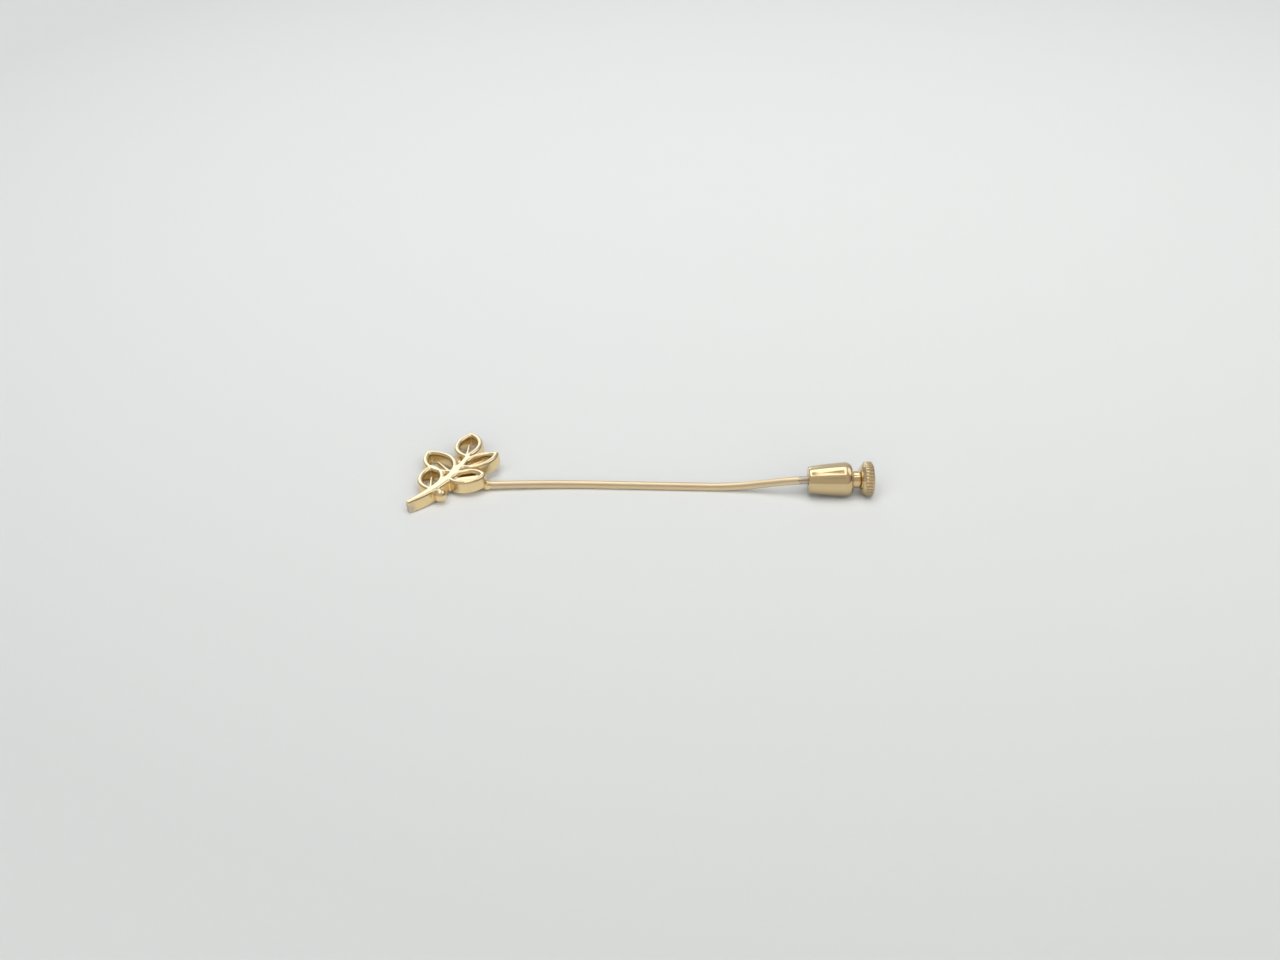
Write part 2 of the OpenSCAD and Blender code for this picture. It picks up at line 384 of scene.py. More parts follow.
rim = [vert for vert in knob_shape.verts if vert.co.xy.length > KNOB_R - NEAR]
grooves = [vert for vert in rim if column(vert) % STEPS_PER_RIDGE >= STEPS_PER_RIDGE / 2]
inward = (KNOB_R - GROOVE_DEPTH) / KNOB_R
bmesh.ops.scale(knob_shape, vec=(inward, inward, 1), verts=grooves)
round_edges(knob_shape, RIDGE_EDGE_ROUND, 2, over=24, low=RIM_START - 0.05, high=RIM_END + 0.05)
round_edges(knob_shape, NECK_ROUND, 3, over=35, low=-math.inf, high=KNOB_START + 0.2)
round_edges(knob_shape, EDGE_ROUND, 3, over=30, low=KNOB_END - NEAR, high=math.inf)
knob = place_piece("pull_knob", knob_shape, CLUTCH_PLACE, "knob", "clutch_knob")

# %% [markdown]
# ## The needle
# Wire is drawn, so it has one round section from end to end. In bmesh it grows out of one disc:
# `extrude_face_region` and a move make each straight run, and `spin` about a centre off to the side
# makes each bend, with the wire's round section kept exactly. At the end the last disc is drawn out
# and shrunk to a point, which on the real one is ground and polished blunt enough not to scratch.
# The operators get the disc's edges with it. From them they see that wire is already behind the
# disc, and take the old disc away. With the face alone it would stay as a wall inside the wire.

# %% Draw the needle
WIRE_SIDES = 40
BEND_STEP = math.radians(0.9)
wire = bmesh.new()
bmesh.ops.create_circle(wire, cap_ends=True, radius=NEEDLE_R, segments=WIRE_SIDES)
facing = Matrix.Translation(NEEDLE_START) @ turned_to(*RUNS[0][:2])
bmesh.ops.transform(wire, matrix=facing, verts=wire.verts)
wire.faces.ensure_lookup_table()


def draw_out(end, step):
    """Extrudes the disc at the wire's end by a step, and returns the new disc."""
    grown = bmesh.ops.extrude_face_region(wire, geom=[end, *end.edges])["geom"]
    moved = [part for part in grown if isinstance(part, bmesh.types.BMVert)]
    bmesh.ops.translate(wire, vec=step, verts=moved)
    return next(part for part in grown if isinstance(part, bmesh.types.BMFace))


def bend_on(end, centre, axis, turn):
    """Spins the disc at the wire's end about a bend's centre and axis, and returns the new disc."""
    last = bmesh.ops.spin(
        wire,
        geom=[end, *end.edges],
        cent=centre,
        axis=axis,
        angle=turn,
        steps=math.ceil(turn / BEND_STEP),
    )["geom_last"]
    return next(part for part in last if isinstance(part, bmesh.types.BMFace))


end = wire.faces[0]
for (slope, heading, length, _), (centre, axis, turn) in zip(RUNS, bends):
    end = draw_out(end, length * way(slope, heading))
    end = bend_on(end, centre, axis, turn)
end = draw_out(end, RUNS[-1][2] * way(CLUTCH_SLOPE, CLUTCH_HEADING))
end = draw_out(end, POINT_LEN * way(CLUTCH_SLOPE, CLUTCH_HEADING))
tip = end.calc_center_median()
narrow = TIP_R / NEEDLE_R
bmesh.ops.scale(
    wire, vec=(narrow, narrow, narrow), space=Matrix.Translation(-tip), verts=list(end.verts)
)
print("the needle's tip in mm:", [round(part, 3) for part in tip])
needle = place_piece("needle", wire, Matrix.Identity(4), "pin", "pin")

# %% [markdown]
# ## The leaf spray, bar by bar
# The ornament is one casting: a curved stem, five open leaves with a midrib each, and two berries.
# A caster carves it in wax from strips of the same wax wire, presses them together and melts the
# joints. The model is made in the same order. Every strip is a bar with a ridge on its face, the
# bars simply run into each other, and the joints are melted together at the end.
#
# The section of a bar is drawn once, as one face, and its upper corners are rounded with a bevel of
# its points. A leaf's rim is that section spun about the centre of the leaf's own arc, and its
# mirror image. Both arcs end in the same two points, so each leaf gets a sharp root and a sharp tip.

# %% Bars of the spray
CAST_TH = 1.8
RIM_W = 0.85
RIDGE_SLOPE = 0.17
RIDGE_H = 0.3
RIDGE_ROUND = 0.14
ARC_STEPS = 40


def draw_section(shape, width):
    """A face in the xz plane: an upright bar with a ridge on top and rounded upper corners."""
    half = width / 2
    corners = [
        (-half, 0),
        (half, 0),
        (half, CAST_TH - RIDGE_H),
        (half - RIDGE_SLOPE, CAST_TH),
        (RIDGE_SLOPE - half, CAST_TH),
        (-half, CAST_TH - RIDGE_H),
    ]
    verts = [shape.verts.new((across, 0, up)) for across, up in corners]
    shape.faces.new(verts)
    bevel(shape, verts[2:], RIDGE_ROUND, 3, affect="VERTICES")


def curved_bar(width, arc_r, from_angle, to_angle):
    """A closed bar along an arc about the origin, with the section spun round it."""
    shape = bmesh.new()
    draw_section(shape, width)
    bmesh.ops.translate(shape, vec=(arc_r, 0, 0), verts=shape.verts)
    start = Matrix.Rotation(from_angle, 3, "Z")
    bmesh.ops.rotate(shape, matrix=start, verts=shape.verts)
    bmesh.ops.spin(
        shape,
        geom=shape.faces[:],
        cent=(0, 0, 0),
        axis=(0, 0, 1),
        angle=to_angle - from_angle,
        steps=ARC_STEPS,
    )
    bmesh.ops.recalc_face_normals(shape, faces=shape.faces)
    return shape


def add_to(whole, part, place):
    """Adds a part to a bmesh, set in its place, and frees the part."""
    bmesh.ops.transform(part, matrix=place, verts=part.verts)
    mesh = make_mesh("part", part)
    whole.from_mesh(mesh)
    bpy.data.meshes.remove(mesh)


# %% [markdown]
# ## A leaf
# The two arcs of a leaf have the radius that makes them meet at the root and the tip, which follows
# from its length and width alone. The midrib is a cube drawn out along the leaf: its far end is
# narrowed, and the long edges on its face are bevelled. On one leaf it is wider, straight and long,
# because the needle is let into its back there.

# %% One leaf
RIB_START = 0.2
RIB_W = 0.7
RIB_TIP_W = 0.3
RIB_REACH = 0.62
RIB_H = 1.35
SEAT_W = 1.3
SEAT_REACH = 0.85
RIB_ROUND = 0.2
# A bar's edges are never rounded by more than this share of its width, so the bevels don't meet
MOST_ROUND = 0.45


def midrib(length, root_w, end_w, reach):
    """The bar from a leaf's root along its middle."""
    shape = bmesh.new()
    bmesh.ops.create_cube(shape, size=1)
    bmesh.ops.translate(shape, vec=(0.5, 0, 0.5), verts=shape.verts)
    far = [vert for vert in shape.verts if vert.co.x > 0.5]
    bmesh.ops.scale(shape, vec=(1, end_w / root_w, 1), verts=far)
    bmesh.ops.scale(shape, vec=(reach * length - RIB_START, root_w, RIB_H), verts=shape.verts)
    bmesh.ops.translate(shape, vec=(RIB_START, 0, 0), verts=shape.verts)
    upper = [edge for edge in shape.edges if all(vert.co.z > RIB_H / 2 for vert in edge.verts)]
    bevel(shape, upper, min(RIB_ROUND, MOST_ROUND * end_w), 3)
    return shape


def add_leaf(whole, place, length, width, is_seat):
    """Adds a leaf that points along +x from its root at the origin, set in its place."""
    arc_r = (length**2 + width**2) / (4 * width)
    half_angle = math.asin(length / 2 / arc_r)
    top = math.pi / 2
    rim = curved_bar(RIM_W, arc_r - RIM_W / 2, top - half_angle, top + half_angle)
    bmesh.ops.translate(rim, vec=(length / 2, width / 2 - arc_r, 0), verts=rim.verts)
    bmesh.ops.mirror(rim, geom=rim.verts[:] + rim.edges[:] + rim.faces[:], axis="Y", merge_dist=-1)
    bmesh.ops.recalc_face_normals(rim, faces=rim.faces)
    add_to(whole, rim, place)
    if is_seat:
        add_to(whole, midrib(length, SEAT_W, SEAT_W, SEAT_REACH), place)
    else:
        add_to(whole, midrib(length, RIB_W, RIB_TIP_W, RIB_REACH), place)


# %% [markdown]
# ## The stem, the leaves in their places, the berries and the solder
# The stem is the same bar along a longer arc. It is thick half way up and thin at both ends, so each
# point is drawn towards the bar's outer side by a share that depends on its angle. The two upright
# edges at its foot are bevelled, because that end is handled and rubbed most.
#
# A place on the stem is named by its angle about the centre of that arc. Each leaf then needs only
# that angle, the way it points, a length and a width. The berries are balls in the leaf axils, and
# the solder is a bead round the needle where it leaves the leaf that it is let into.

# %% Put the spray together
STEM_CENTRE = Vector((-10.43, 13.52, 0))
STEM_R = 17
STEM_FOOT = math.radians(-52.7)
STEM_TOP = math.radians(-3)
STEM_W = 1.5
STEM_END_W = 0.75
FOOT_ROUND = 0.28
SPRAY_TURN = 4
SPRAY_TILT = 6
FOOT = Vector((-32.36, -9.135, 0.017))
# Angle on the stem, heading, length and width of each leaf
LEAVES = [
    (-39, 97, 7.3, 4.0),
    (-27, SPRAY_TURN + SEAT_HEADING, 5.6, 4.1),
    (-21, 126, 8.6, 4.5),
    (-16, 36, 6.6, 3.7),
    (-6, 92, 7.5, 4.2),
]
SEAT_LEAF = 1
# Angle on the stem, distance out from its arc, and radius of each berry
BERRIES = [(-37, 1.35, 0.95), (-8, -1.15, 0.85)]
SOLDER_ALONG = 4.2
SOLDER_AT = NEEDLE_START + SOLDER_ALONG * way(*RUNS[0][:2])
SOLDER_R = 0.75

SPRAY_PLACE = (
    Matrix.Translation(FOOT)
    @ Matrix.Rotation(math.radians(-SPRAY_TURN), 4, "Z")
    @ Matrix.Rotation(math.radians(-SPRAY_TILT), 4, "Y")
)


def on_stem(angle, out=0):
    """A point on the stem's arc at an angle in degrees, or some way out from it."""
    return STEM_CENTRE + Matrix.Rotation(math.radians(angle), 3, "Z") @ Vector((STEM_R + out, 0, 0))


def rise(edge):
    """How far an edge goes up or down."""
    return abs(edge.verts[0].co.z - edge.verts[1].co.z)


def tapered_stem():
    """The stem as a bar that narrows to both ends by its inner side, with a rounded foot."""
    stem = curved_bar(STEM_W, STEM_R, STEM_FOOT, STEM_TOP)
    outer = STEM_R + STEM_W / 2
    middle = (STEM_FOOT + STEM_TOP) / 2
    half = (STEM_TOP - STEM_FOOT) / 2
    for vert in stem.verts:
        off_middle = (math.atan2(vert.co.y, vert.co.x) - middle) / half
        width = STEM_W - (STEM_W - STEM_END_W) * off_middle**2
        radius = vert.co.xy.length
        vert.co.xy *= (outer - (outer - radius) * width / STEM_W) / radius
    at_foot = STEM_FOOT + 0.001
    foot = {vert for vert in stem.verts if math.atan2(vert.co.y, vert.co.x) < at_foot}
    upright = [edge for edge in stem.edges if foot.issuperset(edge.verts) and rise(edge) > CAST_TH / 2]
    bevel(stem, upright, FOOT_ROUND, 4)
    return stem


wax = bmesh.new()
add_to(wax, tapered_stem(), Matrix.Translation(STEM_CENTRE))
for number, (angle, heading, length, width) in enumerate(LEAVES):
    root = Matrix.Translation(on_stem(angle)) @ Matrix.Rotation(math.radians(heading), 4, "Z")
    add_leaf(wax, root, length, width, number == SEAT_LEAF)
for angle, out, radius in BERRIES:
    ball = bmesh.new()
    bmesh.ops.create_uvsphere(ball, u_segments=32, v_segments=20, radius=radius)
    add_to(wax, ball, Matrix.Translation(on_stem(angle, out) + Vector((0, 0, radius))))
bead = bmesh.new()
bmesh.ops.create_uvsphere(bead, u_segments=32, v_segments=20, radius=SOLDER_R)
add_to(wax, bead, SPRAY_PLACE.inverted() @ Matrix.Translation(SOLDER_AT))
print("faces of the loose bars:", len(wax.faces))

# %% [markdown]
# ## Melting the joints
# The bars still run through each other. The Remesh modifier in voxel mode makes one skin round all of
# them, as the wax melts together, and closes every seam. Its grid lines up with the flat back and the
# upright walls here, because the spray still lies flat. A few rounds of `smooth_vert` then draw the
# surface tight, which leaves a small fillet in each corner, as cast and polished metal has.
#
# Nothing that was cast and polished by hand is quite even, so the last step moves each point along
# its normal by a few thousandths of a millimetre, in slow waves.

# %% Melt and polish the spray
VOXEL = 0.085
SMOOTH_ROUNDS = 5
WAVE_HEIGHT = 0.008
WAVE_LENGTH = 1.4

loose = put_in_scene("loose_bars", make_mesh("loose_bars", wax))
remesh = loose.modifiers.new("melt", "REMESH")
remesh.mode = "VOXEL"
remesh.voxel_size = VOXEL
melted = loose.evaluated_get(bpy.context.evaluated_depsgraph_get()).to_mesh()
cast = bmesh.new()
cast.from_mesh(melted)
bpy.data.objects.remove(loose)
for _ in range(SMOOTH_ROUNDS):
    bmesh.ops.smooth_vert(
        cast, verts=cast.verts, factor=0.5, use_axis_x=True, use_axis_y=True, use_axis_z=True
    )
cast.normal_update()
for vert in cast.verts:
    vert.co += WAVE_HEIGHT * noise.noise(vert.co / WAVE_LENGTH) * vert.normal
spray = place_piece("leaf_spray", cast, SPRAY_PLACE, "pin", "pin")

# %% [markdown]
# ## Shader maths as plain expressions
# A material in Blender is a graph of nodes. Written out one node at a time, even `1 - mask * 0.3` is a
# page of code. Two small classes make it readable. `Finish` owns the graph and has the one method
# that adds any node: its type, its settings, then its sockets. `Value` wraps a socket and knows the
# signs of arithmetic, so an expression on values adds its own Math nodes.

# %% A small language for finishes


class Finish:
    """A graph of shader nodes under construction, for a material or for the world."""

    def __init__(self, owner):
        owner.use_nodes = True
        self.owner = owner
        self.tree = owner.node_tree
        self.tree.nodes.clear()

    def add(self, kind, settings=None, sockets=None, output=0):
        """Adds a node: first its settings, then the values and links of its sockets."""
        node = self.tree.nodes.new(kind)
        for name, setting in (settings or {}).items():
            setattr(node, name, setting)
        for name, given in (sockets or {}).items():
            if isinstance(given, Value):
                self.tree.links.new(given.socket, node.inputs[name])
            else:
                node.inputs[name].default_value = given
        return Value(self, node.outputs[output] if len(node.outputs) else None)


class Value:
    """A socket that can be added, multiplied and compared like a number."""

    def __init__(self, finish, socket):
        self.finish = finish
        self.socket = socket

    def math(self, operation, first, second):
        """Adds a Math node for two values or numbers."""
        return self.finish.add("ShaderNodeMath", {"operation": operation}, {0: first, 1: second})

    def __add__(self, other):
        return self.math("ADD", self, other)

    def __sub__(self, other):
        return self.math("SUBTRACT", self, other)

    def __rsub__(self, other):
        return self.math("SUBTRACT", other, self)

    def __mul__(self, other):
        return self.math("MULTIPLY", self, other)

    def __pow__(self, other):
        return self.math("POWER", self, other)

    __radd__ = __add__
    __rmul__ = __mul__

    def fade(self, start, stop):
        """0 up to start and 1 from stop on, with a soft step between them. It may run either way."""
        return self.finish.add(
            "ShaderNodeMapRange",
            {"interpolation_type": "SMOOTHSTEP"},
            {"Value": self, "From Min": start, "From Max": stop},
        )


def own_millimetres(finish, place=Matrix.Identity(4)):
    """The piece's own coordinates, as its drawing had them before it was set in its place."""
    here = finish.add("ShaderNodeTexCoord", output="Object")
    return finish.add(
        "ShaderNodeMapping",
        {"vector_type": "TEXTURE"},
        {
            "Vector": here,
            "Location": MM * place.to_translation(),
            "Rotation": place.to_euler(),
            "Scale": (MM, MM, MM),
        },
    )


def part_of(finish, point, axis):
    """One coordinate of a point, as a value."""
    return finish.add("ShaderNodeSeparateXYZ", sockets={"Vector": point}, output=axis)


def stretched(finish, point, factors):
    """A point with each coordinate multiplied, so that a pattern on it is drawn out or squeezed."""
    return finish.add(
        "ShaderNodeVectorMath", {"operation": "MULTIPLY"}, {0: point, 1: factors}, "Vector"
    )


def grain(finish, point, per_mm, detail=3):
    """Noise from 0 to 1 with so many lumps in a millimetre."""
    return finish.add(
        "ShaderNodeTexNoise", sockets={"Vector": point, "Scale": per_mm, "Detail": detail}
    )


def distance(finish, point, centre):
    """Distance from a point to a fixed centre."""
    return finish.add(
        "ShaderNodeVectorMath", {"operation": "DISTANCE"}, {0: point, 1: centre}, "Value"
    )


def blend(finish, share, first, second):
    """The first colour where the share is 0 and the second where it is 1."""
    return finish.add(
        "ShaderNodeMix", {"data_type": "RGBA"}, {0: share, 6: first, 7: second}, output=2
    )


# %% [markdown]
# ## Gold plate and what wears it
# Polished gold has no colour of its own other than its reflections: the base colour says how much of
# each part of the light comes back. What tells a worn pin from a new one is small. Fine scratches
# scatter the light, thin spots show the grey metal under the plate, and old polish stays in corners.
#
# So every gold here is made from the same few things. A tone, which drifts a little from place to
# place; a roughness that fine grain makes uneven; the share of bare metal; and a height for the
# Bump node, given in millimetres and scaled to metres only there. Where a piece needs them, it also
# gives shares of dark polish, of a paler plate, which on the clutch is a painted sheen, and of a
# painted shade, or a plate of its own.

# %% Gold plate
GOLD = (0.71, 0.55, 0.32, 1)
DEEP_GOLD = (0.6, 0.41, 0.19, 1)
# Pale plate for the wire, also used as a painted sheen in the clutch's throat
PALE_GOLD_AND_PAINTED_SHEEN = (0.95, 0.84, 0.64, 1)
# Painted shade, laid on the side of the clutch that lies on the table
UNDERSIDE_PAINTED_SHADE = (0.33, 0.27, 0.17, 1)
BARE_METAL = (0.5, 0.46, 0.4, 1)
POLISH_GRIME = (0.16, 0.09, 0.035, 1)


def gold(finish, deep, bare, roughness, height, grime=0, paleness_and_sheen=0, painted_shade=0, plate=GOLD):
    """Ends a finish as gold plate, from values that say where it is deep, bare, rough and so on."""
    tone = blend(finish, deep, plate, DEEP_GOLD)
    # A paler plate, which on the clutch is a painted sheen
    tone = blend(finish, paleness_and_sheen, tone, PALE_GOLD_AND_PAINTED_SHEEN)
    # Painted shade on the clutch's underside
    tone = blend(finish, painted_shade, tone, UNDERSIDE_PAINTED_SHADE)
    tone = blend(finish, bare, tone, BARE_METAL)
    tone = blend(finish, grime, tone, POLISH_GRIME)
    bump = finish.add("ShaderNodeBump", sockets={"Height": height, "Distance": MM, "Strength": 1})
    metal = finish.add(
        "ShaderNodeBsdfPrincipled",
        sockets={
            "Base Color": tone,
            "Metallic": 1,
            "Roughness": roughness,
            "Normal": bump,
        },
    )
    finish.add("ShaderNodeOutputMaterial", sockets={"Surface": metal})
    return finish.owner


def paint(piece, material):
    """Gives a piece its only material."""
    piece.data.materials.clear()
    piece.data.materials.append(material)
    print(piece.name, "is finished in", material.name, "with", len(material.node_tree.nodes), "nodes")


# %% [markdown]
# ## The cast gold of the spray
# A casting is polished on a wheel, which reaches its face and its ridges but not its walls. In the
# spray's own coordinates that is simply the height over its back: the ridge is smooth, and the walls
# keep a satin skin. The walls also get a lighter plate than the face, deepened a little, which is
# painted light for walls that lie in shade. The plate is gone where the spray is rubbed most, at the
# foot of the stem and at the far tips of the leaves, and the bare patches have ragged edges.

# %% Cast gold
# Painted light: a lighter plate for the spray's walls, which lie in shade
WALL_GOLD_PAINTED_LIGHT = (0.9, 0.71, 0.4, 1)
WORN_FOOT = on_stem(-52) + Vector((0, 0, 0.5))
WORN_LEAVES = [LEAVES[2], LEAVES[4]]
FACE_START = 1.15
FACE_FULL = 1.6
cast_gold = Finish(bpy.data.materials.new("cast_gold"))
spot = own_millimetres(cast_gold, SPRAY_PLACE)
ragged = grain(cast_gold, spot, 3.5) - 0.5


def worn_patch(middle, raggedness, reach, core):
    """1 within a distance of a worn spot's middle and 0 beyond another, with a ragged edge."""
    return (distance(cast_gold, spot, middle) + raggedness * ragged).fade(reach, core)


def leaf_tip(angle, heading, length):
    """The tip of a leaf, half way up its wall."""
    along = Matrix.Rotation(math.radians(heading), 3, "Z") @ Vector((length, 0, 0))
    return on_stem(angle) + along + Vector((0, 0, CAST_TH / 2))


foot_wear = worn_patch(WORN_FOOT, raggedness=0.7, reach=1.35, core=0.7)
tips = [leaf_tip(*leaf[:3]) for leaf in WORN_LEAVES]
one_tip, other_tip = [worn_patch(tip, raggedness=0.8, reach=1.1, core=0.4) for tip in tips]
tip_wear = one_tip + other_tip
polished = part_of(cast_gold, spot, "Z").fade(FACE_START, FACE_FULL)
satin = grain(cast_gold, spot, 9, 4)
scratches = grain(cast_gold, stretched(cast_gold, spot, (1, 0.12, 0.3)), 26, 2)
rough = 0.24 - 0.08 * polished + 0.06 * (satin - 0.5) + 0.14 * foot_wear
height = 0.001 * (satin - 0.5) + 0.0008 * scratches
# Painted light on the walls: a lighter plate than the face, deepened a little towards dark gold
deep = 0.12 - 0.12 * polished
bare = 0.8 * foot_wear + 0.5 * tip_wear
plate = blend(cast_gold, 0.6 * polished, WALL_GOLD_PAINTED_LIGHT, GOLD)
paint(spray, gold(cast_gold, deep, bare, rough, height, plate=plate))

# %% [markdown]
# ## The drawn gold of the needle
# Wire is pulled through a die, so its marks run along it: the scratches are noise drawn out along x.
# Its plate is thinner than the casting's, so it is paler and a little of the grey metal shows through.
# Just before the clutch it is worn through in a ragged grey ring, where the clutch has bitten and
# slid each time the pin was put on.

# %% Drawn gold
BITE_START = 22.1
BITE_END = 23.5
WIRE_PALENESS = 0.2
WIRE_THINNESS = 0.1
drawn_gold = Finish(bpy.data.materials.new("drawn_gold"))
spot = own_millimetres(drawn_gold)
from_end = part_of(drawn_gold, spot, "X")
ragged = grain(drawn_gold, stretched(drawn_gold, spot, (1.6, 3, 3)), 1.2) - 0.5
place_on_wire = from_end + 1.1 * ragged
bite = place_on_wire.fade(BITE_START - 0.15, BITE_START + 0.15)
bite = bite * place_on_wire.fade(BITE_END + 1.4, BITE_END + 0.4)
die_lines = grain(drawn_gold, stretched(drawn_gold, spot, (0.05, 1, 1)), 14, 3)
slow = grain(drawn_gold, spot, 0.35, 2)
rough = 0.35 + 0.12 * (die_lines - 0.5) + 0.08 * (slow - 0.5) + 0.04 * bite
height = 0.0025 * die_lines + 0.012 * slow
streaks = (0.4 + 0.9 * die_lines) * bite
dirt = 0.5 * bite * die_lines.fade(0.5, 0.6)
bare = WIRE_THINNESS + 0.65 * streaks
paint(needle, gold(drawn_gold, 0.3 * slow, bare, rough, height, dirt, WIRE_PALENESS))

# %% [markdown]
# ## The turned gold of the clutch
# A turned part is marked round its axis. In the clutch's own coordinates z is that axis, so noise that
# is squeezed along z and drawn out across it makes the fine rings of the tool. The barrel is polished
# over, which leaves them faint. In the knurl's grooves they don't show at all: there the last of the
# polishing paste has dried, dark and dull.
#
# Two more marks are painted. The side that the clutch lies on is darkened towards a dull brown, a
# painted shade, and between the barrel and the knob the plate is made paler, a painted sheen, more
# so on the barrel's shoulder than on the knob.

# %% Turned gold
# Radii between which the painted sheen of the throat lies, each with the width of its soft edge
THROAT_INNER_R = NECK_R + 0.03
THROAT_INNER_EDGE = 0.12
THROAT_OUTER_R = 2.3
THROAT_OUTER_EDGE = 0.6
# The knurl's grooves are this far out, and full from the second radius on
GROOVES_FROM_R = 2.05
GROOVES_FULL_R = 2.2


def turned_gold(name, ring_height, groove_grime, painted_sheen):
    """Gold turned on a lathe, with rings of a height in mm, grime in the knurl, a painted sheen in the
    throat and painted shade underneath.
    """
    finish = Finish(bpy.data.materials.new(name))
    spot = own_millimetres(finish, CLUTCH_PLACE)
    rings = grain(finish, stretched(finish, spot, (0.02, 0.02, 1)), 16, 3)
    handling = grain(finish, spot, 1.6, 5)
    hairs = grain(finish, stretched(finish, spot, (1, 0.7, 0.08)), 22, 2)
    across = stretched(finish, spot, (1, 1, 0))
    radius = distance(finish, across, (0, 0, 0))
    along = part_of(finish, spot, "Z")
    downwards = part_of(finish, spot, "X")
    on_rim = along.fade(RIM_START - 0.3, RIM_START)
    # Painted sheen: the throat between the barrel and the knob is made paler
    throat_sheen = along.fade(BARREL_LEN - 0.6, BARREL_LEN - 0.1) * along.fade(RIM_START, RIM_START - 0.3)
    throat_sheen = throat_sheen * radius.fade(THROAT_INNER_R, THROAT_INNER_R + THROAT_INNER_EDGE)
    throat_sheen = throat_sheen * radius.fade(THROAT_OUTER_R, THROAT_OUTER_R - THROAT_OUTER_EDGE)
    # Painted shade: darker towards the clutch's lower side, except in the throat
    underside_shade = downwards.fade(-0.2, 1.9) * (1 - throat_sheen)
    in_groove = radius.fade(KNOB_R - 0.05, KNOB_R - GROOVE_DEPTH)
    in_groove = in_groove * radius.fade(GROOVES_FROM_R, GROOVES_FULL_R) * on_rim
    grime = groove_grime * in_groove
    rough = 0.12 + 0.1 * (handling - 0.5) + 0.06 * (hairs - 0.5) + 0.3 * grime
    height = ring_height * rings + 0.0006 * hairs + 0.004 * handling
    return gold(finish, 0.25 * handling, 0, rough, height, grime, painted_sheen * throat_sheen, underside_shade)


barrel_gold = turned_gold("turned_gold", ring_height=0.0006, groove_grime=0, painted_sheen=1)
paint(barrel, barrel_gold)
knob_gold = turned_gold("knurled_gold", ring_height=0.0012, groove_grime=0.35, painted_sheen=0.35)
paint(knob, knob_gold)

# %% [markdown]
# ## The table
# The pin lies on a sheet of white paper, a little cool and almost matt. A fine tooth in its surface
# keeps it from shining. Its colour is painted a shade dimmer far from a bright spot, towards the
# viewer: a painted falloff of light.

# %% Table
TABLE_R = 2.5
WHITE_PAPER = (0.778, 0.79, 0.775, 1)
PAPER_IN_PAINTED_SHADE = (0.622, 0.632, 0.62, 1)
# Centre of the painted pool of light on the sheet, and how far from there the painted dimming
# is full, in millimetres
BRIGHT_SPOT = (58, 125, 0)
DIM_AT = 226
table_shape = bmesh.new()
bmesh.ops.create_circle(table_shape, cap_ends=True, radius=TABLE_R, segments=96)
table = put_in_scene("table", make_mesh("table", table_shape))
table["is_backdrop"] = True
paper = Finish(bpy.data.materials.new("paper"))
spot = own_millimetres(paper)
fibres = grain(paper, spot, 1.4, 6)
tooth = paper.add("ShaderNodeBump", sockets={"Height": fibres, "Distance": 0.02 * MM})
# Painted falloff of light: the colour dims with the square of the distance from the bright spot
painted_falloff = distance(paper, spot, BRIGHT_SPOT) * (1 / DIM_AT)
sheet = paper.add(
    "ShaderNodeBsdfPrincipled",
    sockets={
        "Base Color": blend(paper, painted_falloff**2, WHITE_PAPER, PAPER_IN_PAINTED_SHADE),
        "Roughness": 0.6,
        "Normal": tooth,
    },
)
paper.add("ShaderNodeOutputMaterial", sockets={"Surface": sheet})
paint(table, paper.owner)

# %% [markdown]
# ## The softbox and its cards
# Polished metal shows its surroundings, so light for it is placed by reflection. On a round bar a
# lamp overhead shows as a bright band, and each edge of the band is an edge of the lamp. The softbox
# hangs straight above and is as wide and deep as the band on the barrel is long and high.
#
# The real band isn't plain. A dull wedge splits it towards the barrel's belly, with a darker line
# inside, and there is a short dark dash near the mouth. Three cards under the softbox give these.
# Each is a flat translucent sheet, so it glows a little by itself and a plain Emission shader will do.

# %% Softbox and cards
SOFTBOX_HEIGHT = 0.6
SOFTBOX_LEFT = -0.2
SOFTBOX_RIGHT = 0.111
SOFTBOX_BACK = 0.34
SOFTBOX_FRONT = -0.32
SOFTBOX_POWER = 5.0
SOFTBOX_COLOUR = (1, 0.99, 0.97)
# Corners of each card, how far it hangs below the softbox, and how much light it lets through
CARDS = {
    "wedge": ([(-0.06, -0.08), (0.06, -0.27), (0.06, 0.11)], 0.01, 0.66),
    "strip": ([(0, -0.04), (0.05, -0.07), (0.05, 0.01), (0, -0.01)], 0.011, 0.4),
    "dash": ([(-0.1, -0.26), (-0.066, -0.26), (-0.06, 0.06), (-0.088, 0.06)], 0.01, 0.22),
}

softbox_light = bpy.data.lights.new("softbox", "AREA")
softbox_light.shape = "RECTANGLE"
softbox_light.size = SOFTBOX_RIGHT - SOFTBOX_LEFT
softbox_light.size_y = SOFTBOX_BACK - SOFTBOX_FRONT
softbox_light.energy = SOFTBOX_POWER * softbox_light.size * softbox_light.size_y
softbox_light.color = SOFTBOX_COLOUR
softbox = put_in_scene("softbox", softbox_light)
softbox.location = (
    (SOFTBOX_LEFT + SOFTBOX_RIGHT) / 2,
    (SOFTBOX_BACK + SOFTBOX_FRONT) / 2,
    SOFTBOX_HEIGHT,
)
print(f"softbox: {softbox_light.energy:.2f} W, {softbox_light.size_y:.2f} m deep")


def hang_card(name, corners, drop, glow):
    """A flat translucent card that hangs below the softbox and is lit by it from behind."""
    shape = bmesh.new()
    shape.faces.new([shape.verts.new((x, y, SOFTBOX_HEIGHT - drop)) for x, y in corners])
    card = put_in_scene(name, make_mesh(name, shape))
    card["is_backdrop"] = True
    finish = Finish(bpy.data.materials.new(name))
    lit = finish.add("ShaderNodeEmission", sockets={"Color": (glow, glow, glow, 1)})
    finish.add("ShaderNodeOutputMaterial", sockets={"Surface": lit})
    paint(card, finish.owner)


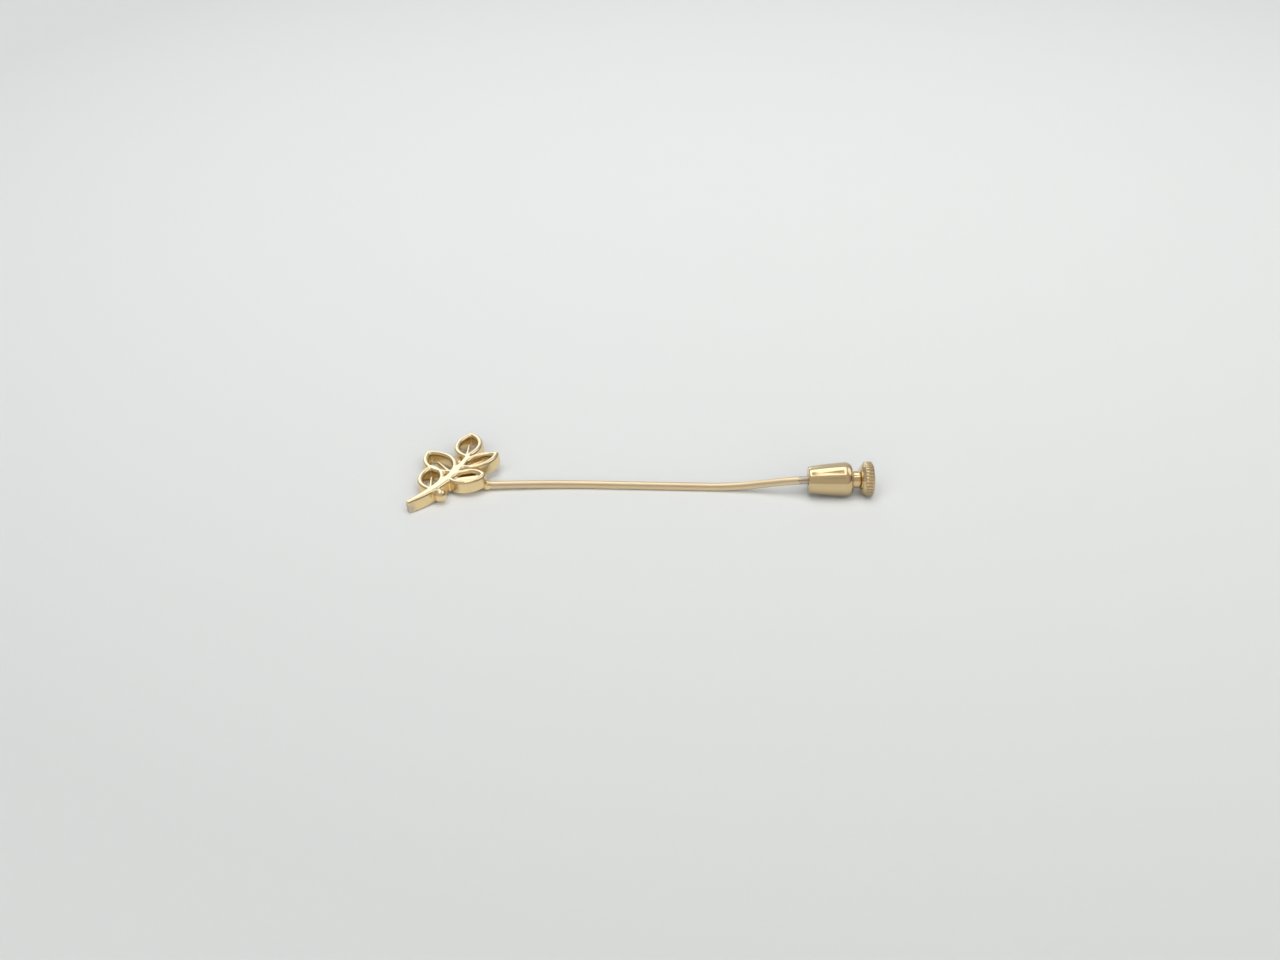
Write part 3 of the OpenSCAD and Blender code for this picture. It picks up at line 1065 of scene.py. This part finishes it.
for name, (corners, drop, glow) in CARDS.items():
    hang_card(name, corners, drop, glow)

# %% [markdown]
# ## The window behind the viewer
# The shadows are soft and short. How fast the paper brightens in front of the barrel tells where its
# light comes from: mostly over the viewer's shoulder, and some from above. A sun lamp with a very
# large angle stands for a big bright window there. The gold would mirror it as a glare that the real
# pin doesn't show, so it is kept out of reflections.

# %% Window
WINDOW_FROM = Vector((0.1, -0.64, 0.76))
WINDOW_ANGLE = math.radians(100)
WINDOW_STRENGTH = 3.7
window_light = bpy.data.lights.new("window", "SUN")
window_light.angle = WINDOW_ANGLE
window_light.energy = WINDOW_STRENGTH
window = put_in_scene("window", window_light)
window.rotation_euler = WINDOW_FROM.to_track_quat("Z", "Y").to_euler()
window.visible_glossy = False
print("window's light comes down at", round(math.degrees(WINDOW_FROM.angle((0, 0, 1)))), "degrees")

# %% [markdown]
# ## The room
# Everything else that the gold mirrors comes from the room. In Blender that is the world, and its
# brightness can be any function of the direction. Here it is duller and warm on the viewer's side,
# cooler and brighter behind, and dim to the sides, which is what gives a round bar its dark edges.
#
# Three spots are added. One is the dark shape of the camera itself. One is a pale patch low behind,
# where the flat face of the spray looks, which makes its ridges light up. The last is a bright wall
# to the right, which shows in the round end of the barrel. The room only serves the reflections, so
# its light is switched off for matt surfaces: the paper has its own two lamps.

# %% Room
COOL_WHITE = (0.9, 0.96, 1.08, 1)
WARM_WHITE = (1, 0.97, 0.93, 1)
SHAPE_TILT = math.radians(50)
CAMERA_SHAPE = Vector((0, -math.sin(SHAPE_TILT), math.cos(SHAPE_TILT)))
PALE_PATCH = Vector((-0.33, 0.83, 0.45))
BRIGHT_WALL = Vector((0.7, 0.18, 0.68))
room = bpy.data.worlds.new("room")
bpy.context.scene.world = room
room.cycles_visibility.diffuse = False
around = Finish(room)
direction = around.add("ShaderNodeTexCoord", output="Generated")
to_back = part_of(around, direction, "Y")
to_right = part_of(around, direction, "X")
camera_shape = distance(around, direction, CAMERA_SHAPE).fade(0.16, 0.08)
patch = distance(around, direction, PALE_PATCH).fade(0.34, 0.2)
wall = distance(around, direction, BRIGHT_WALL).fade(0.5, 0.26)
sides = to_right**2 * (0.4 + 0.4 * to_back + 0.2 * to_right)
brightness = 0.65 + 0.1 * to_back - sides + 1.15 * patch + 1.1 * wall - 0.1 * camera_shape
colour = blend(around, to_back.fade(0.2, -0.3), COOL_WHITE, WARM_WHITE)
shade = around.add("ShaderNodeBackground", sockets={"Color": colour, "Strength": brightness})
around.add("ShaderNodeOutputWorld", sockets={"Surface": shade})
bpy.context.scene.view_settings.view_transform = "Standard"

# %% [markdown]
# ## Measure and finish
# The dressed pin has to fill the same box as its construction model. Both boxes are printed.

# %% Measure and finish
own_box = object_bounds()
for name, (low, high) in (("frame", cad_box), ("dressed", own_box)):
    print(name, "box in mm:", [round(part / MM, 3) for part in (*low, *high)])
